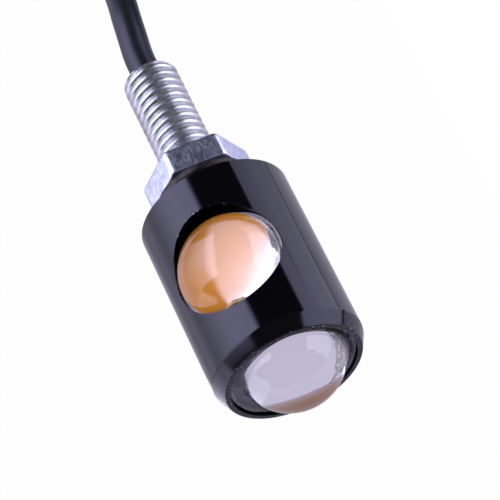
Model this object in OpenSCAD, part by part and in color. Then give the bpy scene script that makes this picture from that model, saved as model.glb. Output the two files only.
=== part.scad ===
// Bolt-type turn signal indicator: a turned housing with two clear lenses on a hollow threaded stud.
// The stud's axis is Y, the side lens faces +Z and the origin is the middle of the housing's rear face.

/* [Housing] */
// Outside diameter of the turned housing
housing_d = 16; // [15:0.5:18]
// Length of the housing from its rear face to its front rim
housing_len = 20.8; // [20.6:0.1:26]
// Radial size of the front chamfer
front_chamfer = 1; // [0.6:0.1:1]
// Distance of the side window's middle from the middle of the inner bore, towards the front
window_shift = 0.1; // [0:0.05:0.2]

/* [Lenses] */
// Diameter of both lenses
lens_d = 11.2; // [10.8:0.1:11.4]
// Height of the domes above their skirts
dome_h = 4.3; // [3.6:0.1:4.8]
// Depth of the skirt under each dome
skirt_h = 1.6; // [1.4:0.1:1.8]

/* [Stud and nut] */
// Length of the stud behind the rear face
stud_len = 19; // [16:0.5:22]
// Width of the nut across its flats
nut_across_flats = 10; // [9:0.5:11]
// Thickness of the nut
nut_h = 3.2; // [3:0.1:3.4]
// Outside diameter of the washer
washer_d = 10.4; // [9.6:0.2:12]
// Thickness of the washer
washer_h = 0.75; // [0.5:0.05:0.8]

/* [Cable] */
// Diameter of the cable's jacket
cable_d = 3.2; // [2.8:0.1:3.2]
// Diameter of the two insulated cores
core_d = 1.2; // [1:0.1:1.4]

/* [Hidden] */
$fn = 96;
clearance = 0.02;
cut = 1;
thread_angle = 30;

// Housing
housing_r = housing_d / 2;
front_chamfer_len = 1.2;
rear_chamfer = 0.4;
front_rim = 0.3;
rear_wall = 3;
inner_r = 4.5;
mouth_chamfer = 0.4;
dome_sunk = 0.4;

// Light units: board, carrier, light-giving disc and lens, stacked face to face
board_t = 0.8;
led_base_t = 0.7;
phosphor_t = 0.3;
lens_r = lens_d / 2;
lens_gap = 0.15;
glue_w = 1.1;
carrier_margin = 1.1;
led_base_r = lens_r - carrier_margin;
phosphor_margin = 0.4;
phosphor_r = led_base_r - phosphor_margin;
dome_r = (lens_r * lens_r + dome_h * dome_h) / (2 * dome_h);
stack_h = skirt_h + phosphor_t + led_base_t + board_t;
front_dome_at = housing_len - dome_sunk;
front_floor = front_dome_at - stack_h;
front_bore_r = lens_r + glue_w;
front_wall = housing_r - front_bore_r;
chamfer_r = min(front_chamfer, front_wall - front_rim);
front_board_r = front_bore_r - clearance;
window_r = lens_r + lens_gap;
window_at = (front_floor + rear_wall) / 2 + window_shift;
saddle_sunk = 0.06;
side_dome_at = sqrt(housing_r * housing_r - window_r * window_r) - saddle_sunk;
side_floor = side_dome_at - stack_h;
side_board_r = window_r - clearance;
glue_proud = 0.3;
glue_bed_r = led_base_r + lens_gap;

// Stud, an M6 coarse thread
thread_r = 3;
root_r = 2.39;
runout_r = 2.83;
pitch = 1;
crest = 0.14;
full_from = 5.9;
tip_len = 0.6;
tip_chamfer = 0.3;
spigot_r = 2.8;
crests = floor(stud_len - tip_len);

// Washer and nut
washer_at = 2.05;
washer_hole_r = 3.2;
nut_at = washer_at + washer_h;
nut_hole_r = 3.05;
nut_turned = 19.5;
nut_sides = 6;
nut_half_side = 180 / nut_sides;
nut_flat_r = nut_across_flats / 2;
nut_r = nut_flat_r / cos(nut_half_side);

// Wiring
cable_r = cable_d / 2;
core_r = core_d / 2;
core_x = 0.75;
strip_at = 5;
jumper_r = 0.4;
jumper_from_window = 2.1;
jumper_at = window_at - jumper_from_window;
solder_r = 1.05;
solder_t = 0.5;
side_solder_r = 0.74;
potting_len = 3;
potting_top = 1.2;

// Parts on the boards: length, width, height
resistor = [2, 1.25, 0.5];
diode = [2.7, 1.6, 1.15];
front_resistor_z = -1.75;
diode_z = -3.25;
side_resistor_from_jumper = 4;

// Cable outside the stud, measured from the stud's end
cord_sides = 8;
route = [
    [0, 0, 0],
    [0, 3, 0],
    [0.3, 6, -0.2],
    [0.5, 9, -0.8],
    [0.6, 12, -1.9],
    [0.5, 15, -3.2],
    [0.2, 18, -4.5],
    [-0.2, 21, -5.4],
    [-0.5, 24, -5.7],
];
coil_sides = 6;
coil_rings = 24;
coil_turns = 2.5;
coil_r = 18.5;
coil_step = 3.8;
climb_from = 1;
climb_turns = 0.5;
coil_heading = 184;
coil_lead = 3.2;
tie_turn = 0.75;
tie_t = 0.5;
tie_gap = 0.2;
tie_w = 2.6;
tie_head = [1.8, 3.6, 2.8];
// Each bare core: distance along the coil's end, inward of it and below it
core_route = [
    [0, 0, 0],
    [2, 0, -0.1],
    [5, 0.4, -0.9],
    [8, 1.2, -2.2],
    [11, 2.4, -3.7],
    [14, 4, -4.8],
    [17, 5.8, -5.3],
];
core_sides = 6;
bare_gap = 0.75;
tip_r = 0.45;
tip_long = 4;

function unit(v) = v / norm(v);

// Points of one ring of a tube round p, square to the direction t
function ring(p, t, r, n) =
    let (side = unit(cross(t, [0, 0, 1])), up = cross(side, t))
    [for (k = [0 : n - 1]) p + r * cos(360 * k / n) * side + r * sin(360 * k / n) * up];

// Directions along a path, with its first and last given
function headings(path, first, last) =
    let (m = len(path) - 1)
    [for (i = [0 : m]) i == 0 ? first : i == m ? last : unit(path[i + 1] - path[i - 1])];

function ease(t) =
    let (u = min(max(t, 0), 1))
    u * u * (3 - 2 * u);

// Direction and place in the coil after s turns
function coil_angle(s) = coil_heading - 360 * s;
function coil_dir(s) = [sin(coil_angle(s)), -cos(coil_angle(s)), 0];
function coil_out(s) = [cos(coil_angle(s)), sin(coil_angle(s)), 0];
function coil_radius(s) = coil_r - coil_step * min(s, coil_turns - s);
function coil_rise(s) = coil_step * ease((s - climb_from) / climb_turns);

stud_end = [0, stud_len, 0];
cord_path = [for (p = route) stud_end + p];
coil_start = cord_path[len(route) - 1];
coil_entry = coil_start + coil_lead * coil_dir(0);
coil_mid = coil_entry - coil_r * coil_out(0);
function coil_place(s) = coil_mid + coil_radius(s) * coil_out(s) + [0, 0, coil_rise(s)];
turn_path = [for (i = [0 : coil_turns * coil_rings]) coil_place(i / coil_rings)];
coil_exit = coil_place(coil_turns) + coil_lead * coil_dir(coil_turns);
coil_path = concat([coil_start], turn_path, [coil_exit]);

// Least gap between turns: rings half a turn or more apart
apart = coil_rings / 2;
turn_count = len(turn_path);
turn_gaps = [
    for (i = [0 : turn_count - apart - 1])
        for (j = [i + apart : turn_count - 1])
            norm(turn_path[j] - turn_path[i]) - cable_d
];
echo(coil_least_gap = min(turn_gaps));

// The two bare cores lie side by side and keep the coil's last direction at their start
end_dir = coil_dir(coil_turns);
end_out = coil_out(coil_turns);
function core_path(offset) =
    [for (p = core_route) coil_exit + p[0] * end_dir + (offset - p[1]) * end_out + [0, 0, p[2]]];
core_last = len(core_route) - 1;
function core_end_dir(offset) =
    let (path = core_path(offset), d = path[core_last] - path[core_last - 1])
    unit([d[0], d[1], 0]);

// Stands a shape drawn along +Z on the stud's axis, facing the rear or the front
module to_rear(at) {
    translate([0, at, 0])
        rotate([-90, 0, 0])
            children();
}

module to_front(at) {
    translate([0, -at, 0])
        rotate([90, 0, 0])
            children();
}

// Stands a shape drawn along +Z over the side window's middle
module to_side(at) {
    translate([0, -window_at, at])
        children();
}

module annulus(outer, inner, h) {
    difference() {
        cylinder(r = outer, h = h);
        translate([0, 0, -cut])
            cylinder(r = inner, h = h + 2 * cut);
    }
}

module tube(path, dirs, r, n) {
    rings = len(path);
    last = (rings - 1) * n;
    sides = [
        for (i = [0 : rings - 2])
            for (k = [0 : n - 1])
                let (a = i * n + k, b = i * n + (k + 1) % n)
                each [[a, b, a + n], [b, b + n, a + n]]
    ];
    start_cap = [for (k = [1 : n - 2]) [0, k + 1, k]];
    end_cap = [for (k = [1 : n - 2]) [last, last + k, last + k + 1]];
    polyhedron(
        points = [for (i = [0 : rings - 1]) each ring(path[i], dirs[i], r, n)],
        faces = concat(sides, start_cap, end_cap)
    );
}

module housing() {
    color("#18181b")
        difference() {
            to_rear(0)
                rotate_extrude()
                    polygon([
                        [spigot_r + clearance, -rear_wall],
                        [spigot_r + clearance, -mouth_chamfer],
                        [spigot_r + clearance + mouth_chamfer, 0],
                        [housing_r - rear_chamfer, 0],
                        [housing_r, -rear_chamfer],
                        [housing_r, front_chamfer_len - housing_len],
                        [housing_r - chamfer_r, -housing_len],
                        [front_bore_r, -housing_len],
                        [front_bore_r, -front_floor],
                        [inner_r, -front_floor],
                        [inner_r, -rear_wall],
                    ]);
            to_side(side_floor)
                cylinder(r = window_r, h = housing_d);
        }
}

// One turned ring of the thread, as four points of the stud's profile
function thread_ring(at) =
    let (
        top = at < full_from ? runout_r : thread_r,
        flank = (top - root_r) * tan(thread_angle)
    )
    [
        [root_r, at - crest / 2 - flank],
        [top, at - crest / 2],
        [top, at + crest / 2],
        [root_r, at + crest / 2 + flank],
    ];

module stud() {
    bore_r = cable_r + clearance;
    color("#9a98a8")
        to_rear(0)
            rotate_extrude()
                polygon(concat(
                    [
                        [bore_r, -rear_wall],
                        [spigot_r, -rear_wall],
                        [spigot_r, -mouth_chamfer],
                        [root_r, -mouth_chamfer],
                    ],
                    [for (i = [1 : crests]) each thread_ring(i * pitch)],
                    [[root_r, stud_len - tip_chamfer], [root_r - tip_chamfer, stud_len], [bore_r, stud_len]]
                ));
}

module washer() {
    color("#4c4949")
        to_rear(washer_at)
            annulus(washer_d / 2, washer_hole_r, washer_h);
}

module nut() {
    edge = (nut_r - nut_flat_r) * tan(thread_angle);
    color("#b9b9cc")
        to_rear(nut_at)
            difference() {
                intersection() {
                    rotate([0, 0, nut_turned - nut_half_side - 90])
                        cylinder(r = nut_r, h = nut_h, $fn = nut_sides);
                    rotate_extrude()
                        polygon([
                            [0, 0],
                            [nut_flat_r, 0],
                            [nut_r, edge],
                            [nut_r, nut_h - edge],
                            [nut_flat_r, nut_h],
                            [0, nut_h],
                        ]);
                }
                translate([0, 0, -cut])
                    cylinder(r = nut_hole_r, h = nut_h + 2 * cut);
            }
}

// A solid lens: a skirt with a spherical cap on it
module lens() {
    cylinder(r = lens_r, h = skirt_h);
    intersection() {
        translate([0, 0, skirt_h + dome_h - dome_r])
            sphere(r = dome_r);
        translate([0, 0, skirt_h])
            cylinder(r = lens_r, h = dome_h + cut);
    }
}

module front_lens() {
    color("#e4e2f2", 0.5)
        to_front(front_dome_at - skirt_h)
            lens();
}

module side_lens() {
    color("#f0d8c8", 0.5)
        to_side(side_dome_at - skirt_h)
            lens();
}

// The glue round the front lens, up to just under the rim
module front_lens_glue() {
    glue_h = skirt_h + phosphor_t + led_base_t + glue_proud;
    color("#a8a4b4", 0.6)
        to_front(front_floor + board_t)
            annulus(front_bore_r - clearance, lens_r + clearance, glue_h);
}

// The glue bed under the side lens's edge
module side_lens_glue() {
    color("#c8b4a8", 0.6)
        to_side(side_floor + board_t)
            annulus(window_r - clearance, glue_bed_r, led_base_t + phosphor_t);
}

module front_board() {
    color("#e8e6da")
        to_front(front_floor)
            cylinder(r = front_board_r, h = board_t);
}

module side_board() {
    color("#e8e6da")
        to_side(side_floor)
            cylinder(r = side_board_r, h = board_t);
}

module front_led_base() {
    color("#f4f2ea")
        to_front(front_floor + board_t)
            cylinder(r = led_base_r, h = led_base_t);
}

module side_led_base() {
    color("#f4f2ea")
        to_side(side_floor + board_t)
            cylinder(r = led_base_r, h = led_base_t);
}

module front_phosphor() {
    color("#e08a30")
        to_front(front_floor + board_t + led_base_t)
            cylinder(r = phosphor_r, h = phosphor_t);
}

module side_phosphor() {
    color("#e08a30")
        to_side(side_floor + board_t + led_base_t)
            cylinder(r = phosphor_r, h = phosphor_t);
}

// Chips stand on a board with their height along +Z before they are placed
module chip(size) {
    translate([-size[0] / 2, -size[1] / 2, 0])
        cube(size);
}

module front_resistor() {
    color("#202024")
        translate([0, -front_floor, front_resistor_z])
            rotate([-90, 0, 0])
                chip(resistor);
}

module polarity_diode() {
    color("#26262a")
        translate([0, -front_floor, diode_z])
            rotate([-90, 0, 0])
                chip(diode);
}

module side_resistor() {
    color("#202024")
        translate([0, -jumper_at - side_resistor_from_jumper, side_floor])
            rotate([180, 0, 90])
                chip(resistor);
}

// One insulated core from the stripped jacket to the front board
module lead(side) {
    translate([side * core_x, 0, 0])
        to_front(strip_at)
            cylinder(r = core_r, h = front_floor - strip_at);
}

module lead_positive() {
    color("#b02020")
        lead(1);
}

module lead_negative() {
    color("#1c1c1e")
        lead(-1);
}

// A short wire that stands on a core and reaches the side board
module jumper(side) {
    difference() {
        translate([side * core_x, -jumper_at, 0])
            cylinder(r = jumper_r, h = side_floor);
        translate([side * core_x, 0, 0])
            to_front(0)
                cylinder(r = core_r + clearance, h = housing_len);
    }
}

module jumper_positive() {
    color("#c8763c")
        jumper(1);
}

module jumper_negative() {
    color("#c8763c")
        jumper(-1);
}

module front_solder() {
    color("#c4c6cc")
        to_front(front_floor - solder_t)
            difference() {
                union() {
                    translate([core_x, 0, 0])
                        cylinder(r = solder_r, h = solder_t);
                    translate([-core_x, 0, 0])
                        cylinder(r = solder_r, h = solder_t);
                }
                for (side = [-1, 1])
                    translate([side * core_x, 0, -cut])
                        cylinder(r = core_r + clearance, h = solder_t + 2 * cut);
                translate([-core_d / 8, -housing_r, -cut])
                    cube([core_d / 4, housing_d, solder_t + 2 * cut]);
            }
}

module side_solder() {
    color("#c4c6cc")
        for (side = [-1, 1])
            translate([side * core_x, -jumper_at, side_floor - solder_t])
                annulus(side_solder_r, jumper_r + clearance, solder_t);
}

// Resin round the cable where it leaves the stud
module potting() {
    color("#2a2826")
        difference() {
            to_front(rear_wall)
                cylinder(r = inner_r - clearance, h = potting_len);
            translate([-housing_r, -housing_len, potting_top])
                cube([housing_d, housing_len, housing_d]);
            to_front(0)
                cylinder(r = cable_r + clearance, h = strip_at + clearance);
            for (side = [-1, 1])
                translate([side * core_x, 0, 0])
                    to_front(0)
                        cylinder(r = core_r + clearance, h = housing_len);
        }
}

// The jacketed cable inside the housing and the stud
module cable_tail() {
    color("#3a3844")
        to_front(-stud_len)
            cylinder(r = cable_r, h = stud_len + strip_at);
}

module cord() {
    color("#3a3844")
        tube(cord_path, headings(cord_path, [0, 1, 0], coil_dir(0)), cable_r, cord_sides);
}

module cord_coil() {
    color("#3a3844")
        tube(coil_path, headings(coil_path, coil_dir(0), coil_dir(coil_turns)), cable_r, coil_sides);
}

// Outline of the two stacked turns, grown by a margin
module stacked(grown) {
    circle(r = cable_r + grown);
    translate([0, coil_step])
        circle(r = cable_r + grown);
    translate([-cable_r - grown, 0])
        square([2 * (cable_r + grown), coil_step]);
}

module coil_tie() {
    tie_out = cable_r + tie_gap + tie_t;
    place = coil_place(tie_turn);
    color("#202022")
        translate(place)
            rotate([0, 0, coil_angle(tie_turn)])
                difference() {
                    union() {
                        rotate([90, 0, 0])
                            linear_extrude(height = tie_w, center = true)
                                stacked(tie_gap + tie_t);
                        translate([-tie_out - tie_head[0] + tie_t, -tie_head[1] / 2, 0])
                            cube(tie_head);
                    }
                    rotate([90, 0, 0])
                        linear_extrude(height = tie_head[1] + 2 * cut, center = true)
                            stacked(tie_gap);
                }
}

module bare_core(side) {
    path = core_path(side * bare_gap);
    tube(path, headings(path, end_dir, core_end_dir(side * bare_gap)), core_r, core_sides);
}

module core_positive() {
    color("#b02020")
        bare_core(1);
}

module core_negative() {
    color("#1c1c1e")
        bare_core(-1);
}

module core_tips() {
    color("#d8d4cc")
        for (side = [-1, 1]) {
            path = core_path(side * bare_gap);
            dir = core_end_dir(side * bare_gap);
            tip = path[core_last];
            tube([tip, tip + tip_long * dir], [dir, dir], tip_r, core_sides);
        }
}

housing();
stud();
washer();
nut();
front_lens();
side_lens();
front_lens_glue();
side_lens_glue();
front_board();
side_board();
front_led_base();
side_led_base();
front_phosphor();
side_phosphor();
front_resistor();
side_resistor();
polarity_diode();
lead_positive();
lead_negative();
jumper_positive();
jumper_negative();
front_solder();
side_solder();
potting();
cable_tail();
cord();
cord_coil();
coil_tie();
core_positive();
core_negative();
core_tips();
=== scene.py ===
import math

import bmesh
import bpy
from mathutils import Matrix, Quaternion, Vector, noise


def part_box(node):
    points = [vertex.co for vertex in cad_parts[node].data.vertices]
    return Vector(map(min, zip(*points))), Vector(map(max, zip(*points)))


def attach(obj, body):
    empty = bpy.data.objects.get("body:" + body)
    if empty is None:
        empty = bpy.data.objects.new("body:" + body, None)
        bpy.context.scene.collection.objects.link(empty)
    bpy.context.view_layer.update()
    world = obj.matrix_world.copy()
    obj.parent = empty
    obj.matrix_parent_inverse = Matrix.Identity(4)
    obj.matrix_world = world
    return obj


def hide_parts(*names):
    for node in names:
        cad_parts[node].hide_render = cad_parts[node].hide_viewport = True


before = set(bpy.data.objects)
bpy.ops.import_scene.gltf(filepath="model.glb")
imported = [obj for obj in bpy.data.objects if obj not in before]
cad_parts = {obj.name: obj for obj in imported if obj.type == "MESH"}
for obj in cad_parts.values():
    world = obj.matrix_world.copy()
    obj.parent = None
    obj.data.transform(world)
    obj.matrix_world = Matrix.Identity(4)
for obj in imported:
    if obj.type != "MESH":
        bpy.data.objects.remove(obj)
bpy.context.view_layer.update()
print("frame loaded,", len(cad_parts), "nodes")

mm = 0.001
scene = bpy.context.scene
scene.view_settings.view_transform = "Standard"


# camera: where the photograph was taken from, turned on its own axis as the picture is
camera = {
    "aim": (2.18, -8.771, 3.866),
    "distance": 270,
    "azimuth": 15.576,
    "elevation": 55.488,
    "roll": -45.182,
    "lens": 197.07,
    "sensor": 36,
    "clip": (0.01, 20),   # metres
}


def aimCamera(setting):
    azimuth = math.radians(setting["azimuth"])
    elevation = math.radians(setting["elevation"])
    level = math.cos(elevation)
    back = Vector((math.sin(azimuth) * level, -math.cos(azimuth) * level, math.sin(elevation)))
    data = bpy.data.cameras.new("photoCamera")
    data.lens = setting["lens"]
    data.sensor_width = setting["sensor"]
    data.clip_start, data.clip_end = setting["clip"]
    eye = bpy.data.objects.new("photoCamera", data)
    scene.collection.objects.link(eye)
    eye.location = (Vector(setting["aim"]) + back * setting["distance"]) * mm
    eye.rotation_mode = "QUATERNION"
    rolled = Quaternion((0, 0, 1), math.radians(setting["roll"]))
    eye.rotation_quaternion = (-back).to_track_quat("-Z", "Y") @ rolled
    scene.camera = eye


aimCamera(camera)
print("camera set")


# mesh helpers, all in millimetres
def skin(rings, closed=False, startTip=None, endTip=None):
    count = len(rings[0])
    points = [Vector(p) for ring in rings for p in ring]
    faces = []
    spans = len(rings) if closed else len(rings) - 1
    for i in range(spans):
        a = i * count
        b = (i + 1) % len(rings) * count
        for k in range(count):
            n = (k + 1) % count
            faces.append((a + k, a + n, b + n, b + k))
    for tip, first in ((startTip, 0), (endTip, (len(rings) - 1) * count)):
        if tip is not None:
            points.append(Vector(tip))
            last = len(points) - 1
            faces += [(first + k, first + (k + 1) % count, last) for k in range(count)]
    return points, faces


def joined(*parts):
    points = []
    faces = []
    for somePoints, someFaces in parts:
        start = len(points)
        points += somePoints
        faces += [tuple(start + i for i in face) for face in someFaces]
    return points, faces


def meshObject(name, shape, sharp=35):
    points, faces = shape
    mesh = bpy.data.meshes.new(name)
    mesh.from_pydata([p * mm for p in points], [], faces)
    bm = bmesh.new()
    bm.from_mesh(mesh)
    bmesh.ops.recalc_face_normals(bm, faces=bm.faces)
    bm.to_mesh(mesh)
    bm.free()
    smoothFaces(mesh, sharp)
    piece = bpy.data.objects.new(name, mesh)
    scene.collection.objects.link(piece)
    return piece


def smoothFaces(mesh, sharp):
    mesh.polygons.foreach_set("use_smooth", [True] * len(mesh.polygons))
    mesh.set_sharp_from_angle(angle=math.radians(sharp))


def applyModifiers(piece):
    graph = bpy.context.evaluated_depsgraph_get()
    made = bpy.data.meshes.new_from_object(piece.evaluated_get(graph))
    old = piece.data
    piece.modifiers.clear()
    piece.data = made
    made.name = piece.name
    bpy.data.meshes.remove(old)


def evenNormals(piece):
    weighted = piece.modifiers.new("even", "WEIGHTED_NORMAL")
    weighted.weight = 80
    weighted.keep_sharp = True
    applyModifiers(piece)


# corners of a profile: radius, place along the axis, how far the edge is broken
def softProfile(corners, closed=True, steps=4):
    count = len(corners)
    profile = []
    for i, (r, h, soft) in enumerate(corners):
        here = Vector((r, h))
        ends = not closed and i in (0, count - 1)
        if soft <= 0 or ends:
            profile.append((r, h))
            continue
        before = Vector(corners[i - 1][:2]) - here
        after = Vector(corners[(i + 1) % count][:2]) - here
        a = here + before.normalized() * soft
        b = here + after.normalized() * soft
        for k in range(steps + 1):
            t = k / steps
            p = a.lerp(here, t).lerp(here.lerp(b, t), t)
            profile.append((p.x, p.y))
    return profile


def turn(r, angle, h):
    return Vector((r * math.sin(angle), h, r * math.cos(angle)))


def lathe(profile, steps, closed=True, startTip=None, endTip=None):
    angles = [2 * math.pi * k / steps for k in range(steps)]
    rings = [[turn(r, a, h) for a in angles] for r, h in profile]
    tips = [None if t is None else (0, t, 0) for t in (startTip, endTip)]
    return skin(rings, closed, *tips)


def tube(path, radius, sides, startDir, endDir):
    angles = [2 * math.pi * k / sides for k in range(sides)]
    aheads = [(after - before).normalized() for before, after in zip(path, path[2:])]
    side = startDir.cross(Vector((0, 0, 1))).normalized()
    rings = []
    for p, ahead in zip(path, [startDir] + aheads + [endDir]):
        side = (side - ahead * side.dot(ahead)).normalized()
        up = side.cross(ahead)
        rings.append([p + side * (radius * math.cos(a)) + up * (radius * math.sin(a)) for a in angles])
    return skin(rings, False, path[0], path[-1])


# a curve through every point given
def smoothPath(points, perSpan):
    points = [Vector(p) for p in points]
    path = []
    for i in range(len(points) - 1):
        b = points[i]
        c = points[i + 1]
        a = points[i - 1] if i > 0 else b * 2 - c
        d = points[i + 2] if i + 2 < len(points) else c * 2 - b
        bend = 2 * a - 5 * b + 4 * c - d
        twist = 3 * b - a - 3 * c + d
        for k in range(perSpan):
            t = k / perSpan
            path.append(0.5 * (2 * b + (c - a) * t + bend * t ** 2 + twist * t ** 3))
    path.append(points[-1])
    return path


def ease(t):
    u = min(max(t, 0), 1)
    return u * u * (3 - 2 * u)


def dress(piece, body, slotName, material, *nodes):
    piece.data.materials.append(material)
    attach(piece, body)
    if nodes:
        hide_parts(*nodes)
    return piece


# node helpers
def addNode(tree, kind, inputs=None, **props):
    made = tree.nodes.new(kind)
    for key, value in props.items():
        setattr(made, key, value)
    for key, value in (inputs or {}).items():
        if isinstance(value, bpy.types.NodeSocket):
            tree.links.new(value, made.inputs[key])
        else:
            made.inputs[key].default_value = value
    return made


def startGroup(name, inputs, outputs):
    tree = bpy.data.node_groups.new(name, "ShaderNodeTree")
    for label, kind, value in inputs:
        socket = tree.interface.new_socket(name=label, in_out="INPUT", socket_type=kind)
        socket.default_value = value
    for label, kind in outputs:
        tree.interface.new_socket(name=label, in_out="OUTPUT", socket_type=kind)
    return tree, tree.nodes.new("NodeGroupInput"), tree.nodes.new("NodeGroupOutput")


def useGroup(tree, group, inputs=None):
    return addNode(tree, "ShaderNodeGroup", inputs, node_tree=group).outputs[0]


def objectSpot(tree):
    return addNode(tree, "ShaderNodeTexCoord").outputs["Object"]


def splitSpot(tree, spot):
    return addNode(tree, "ShaderNodeSeparateXYZ", {0: spot}).outputs


def faceMark(tree, name):
    return addNode(tree, "ShaderNodeAttribute", attribute_name=name).outputs["Fac"]


def mixNumber(tree, factor, first, second):
    made = addNode(tree, "ShaderNodeMix", {0: factor, 2: first, 3: second}, data_type="FLOAT")
    return made.outputs[0]


def asColour(value):
    return (*value, 1) if isinstance(value, tuple) else value


def mixColour(tree, factor, first, second):
    made = addNode(tree, "ShaderNodeMix", {
        0: factor, 6: asColour(first), 7: asColour(second)}, data_type="RGBA")
    return made.outputs[2]


def slope(tree, value, start, end):
    made = addNode(tree, "ShaderNodeMapRange", {
        "Value": value, "From Min": start, "From Max": end}, interpolation_type="SMOOTHSTEP")
    return made.outputs["Result"]


def calc(tree, operation, first, second=0.0, clamp=False):
    made = addNode(tree, "ShaderNodeMath", {0: first, 1: second}, operation=operation, use_clamp=clamp)
    return made.outputs[0]


def times(tree, first, *rest):
    for other in rest:
        first = calc(tree, "MULTIPLY", first, other)
    return first


def plus(tree, first, second):
    return calc(tree, "ADD", first, second)


numberSocket = "NodeSocketFloat"
vectorSocket = "NodeSocketVector"
noiseRange = (0.3, 0.7)   # where most of a noise lies


# spreads a noise between a group's Low and High
def spreadOut(tree, value, given, out):
    spread = addNode(tree, "ShaderNodeMapRange", {
        "Value": value, "From Min": noiseRange[0], "From Max": noiseRange[1],
        "To Min": given.outputs["Low"], "To Max": given.outputs["High"]})
    tree.links.new(spread.outputs["Result"], out.inputs["Value"])


# uneven tone: soft noise over the piece, stretched for grain
def makeMottle():
    tree, given, out = startGroup(
        "mottle",
        [("Scale", numberSocket, 400), ("Detail", numberSocket, 3), ("Stretch", vectorSocket, (1, 1, 1)),
         ("Low", numberSocket, 0), ("High", numberSocket, 1)],
        [("Value", numberSocket)],
    )
    drawn = addNode(tree, "ShaderNodeVectorMath", {
        0: objectSpot(tree), 1: given.outputs["Stretch"]}, operation="MULTIPLY")
    cloud = addNode(tree, "ShaderNodeTexNoise", {
        "Vector": drawn.outputs[0], "Scale": given.outputs["Scale"], "Detail": given.outputs["Detail"]})
    spreadOut(tree, cloud.outputs["Fac"], given, out)
    return tree


# marks of the lathe: rings round the Y axis that change with radius and length only
def makeTurnedRings():
    tree, given, out = startGroup(
        "turnedRings",
        [("Scale", numberSocket, 9000), ("Low", numberSocket, 0), ("High", numberSocket, 1)],
        [("Value", numberSocket)],
    )
    x, y, z = splitSpot(tree, objectSpot(tree))
    flat = addNode(tree, "ShaderNodeCombineXYZ", {0: x, 1: z})
    reach = addNode(tree, "ShaderNodeVectorMath", {0: flat.outputs[0]}, operation="LENGTH")
    place = addNode(tree, "ShaderNodeCombineXYZ", {0: reach.outputs["Value"], 1: y})
    lines = addNode(tree, "ShaderNodeTexNoise", {
        "Vector": place.outputs[0], "Scale": given.outputs["Scale"], "Detail": 2.0}, noise_dimensions="2D")
    spreadOut(tree, lines.outputs["Fac"], given, out)
    return tree


# small scattered specks: dust, pits, glints and bubbles
def makeSpecks():
    tree, given, out = startGroup(
        "specks",
        [("Scale", numberSocket, 2000), ("Size", numberSocket, 0.2), ("Share", numberSocket, 0.3)],
        [("Mask", numberSocket)],
    )
    cells = addNode(tree, "ShaderNodeTexVoronoi", {
        "Vector": objectSpot(tree), "Scale": given.outputs["Scale"]})
    near = addNode(tree, "ShaderNodeMapRange", {
        "Value": cells.outputs["Distance"], "From Min": given.outputs["Size"], "From Max": 0.0})
    pick = addNode(tree, "ShaderNodeSeparateColor", {0: cells.outputs["Color"]}).outputs[0]
    chosen = calc(tree, "LESS_THAN", pick, given.outputs["Share"])
    mask = calc(tree, "MULTIPLY", near.outputs["Result"], chosen, True)
    tree.links.new(mask, out.inputs["Mask"])
    return tree


# wear on the faces marked as broken edges, in patches
def makeEdgeWear():
    wear = {"from": 0.75, "fade": 0.12, "detail": 4.0}
    tree, given, out = startGroup(
        "edgeWear",
        [("Scale", numberSocket, 900), ("Amount", numberSocket, 0.5)],
        [("Mask", numberSocket)],
    )
    patch = addNode(tree, "ShaderNodeTexNoise", {
        "Vector": objectSpot(tree), "Scale": given.outputs["Scale"], "Detail": wear["detail"]})
    start = calc(tree, "SUBTRACT", wear["from"], given.outputs["Amount"])
    rubbed = addNode(tree, "ShaderNodeMapRange", {
        "Value": patch.outputs["Fac"], "From Min": start, "From Max": plus(tree, start, wear["fade"])})
    mask = calc(tree, "MULTIPLY", faceMark(tree, "worn"), rubbed.outputs["Result"], True)
    tree.links.new(mask, out.inputs["Mask"])
    return tree


mottle = makeMottle()
turnedRings = makeTurnedRings()
specks = makeSpecks()
edgeWear = makeEdgeWear()
print("shared effects made")


def startMaterial(name, sockets):
    material = bpy.data.materials.new(name)
    material.use_nodes = True
    tree = material.node_tree
    shader = tree.nodes["Principled BSDF"]
    for key, value in sockets.items():
        shader.inputs[key].default_value = asColour(value)
    return material, tree, shader


def link(tree, output, shader, key):
    tree.links.new(output, shader.inputs[key])


def addGloss(tree, shader, scale, span, stretch=(1, 1, 1)):
    gloss = useGroup(tree, mottle, {"Scale": scale, "Stretch": stretch, "Low": span[0], "High": span[1]})
    link(tree, gloss, shader, "Roughness")


def addBump(tree, shader, height, strength, distance):
    bump = addNode(tree, "ShaderNodeBump", {"Height": height, "Strength": strength, "Distance": distance})
    link(tree, bump.outputs[0], shader, "Normal")


plasticIor = 1.5
skinDepth = 0.00005    # metres, the fine skin of plastic
grainDepth = 0.00003   # and the grain of metal


# a plain moulded or coated surface: tone, gloss and a fine skin that vary a little
def coatedMaterial(name, finish):
    material, tree, shader = startMaterial(name, {"IOR": plasticIor, **finish.get("sockets", {})})
    tone = useGroup(tree, mottle, {"Scale": finish["scale"]})
    link(tree, mixColour(tree, tone, finish["dark"], finish["light"]), shader, "Base Color")
    addGloss(tree, shader, finish["scale"] * 2, finish["gloss"])
    grain = useGroup(tree, mottle, {"Scale": finish["grain"], "Detail": 2})
    addBump(tree, shader, grain, finish["bump"], skinDepth)
    return material


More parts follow.
